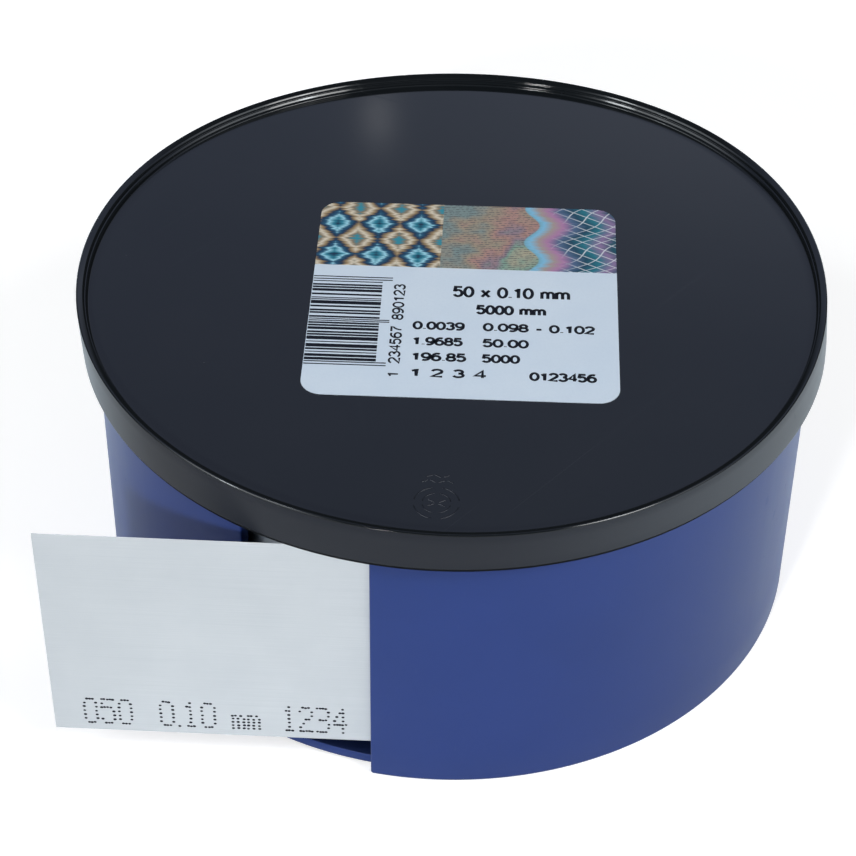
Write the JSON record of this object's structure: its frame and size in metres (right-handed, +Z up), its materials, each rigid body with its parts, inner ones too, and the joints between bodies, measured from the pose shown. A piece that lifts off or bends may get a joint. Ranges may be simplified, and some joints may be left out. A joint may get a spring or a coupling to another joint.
{
  "type": "feeler gauge strip roll",
  "caption": "Thin steel gauge strip coiled in a round dispenser can, its free end drawn out flat through a window in the wall, under a push-on lid with a square label.",
  "frame": {"origin": "on the can's axis, in the plane of the foot ring", "axes": "+Z up along the can's axis; the drawn-out strip runs along -X, parallel to X, on the -Y side"},
  "size_m": [0.145, 0.145, 0.0667],
  "materials": {
    "can_plastic": "smooth moulded blue, satin gloss",
    "strip_steel": "cold-rolled, fine matte",
    "lid_plastic": "smooth moulded black, satin gloss",
    "label_paper": "coated label paper with a foil band"
  },
  "bodies": {
    "can": {"can_body": "can_plastic", "steel_strip": "strip_steel"},
    "lid": {"lid": "lid_plastic", "label": "label_paper"}
  },
  "joints": [
    {"name": "lid_lift", "type": "slide", "parent": "can", "child": "lid", "axis": [0, 0, 1], "range_m": [0, 0.06]}
  ]
}
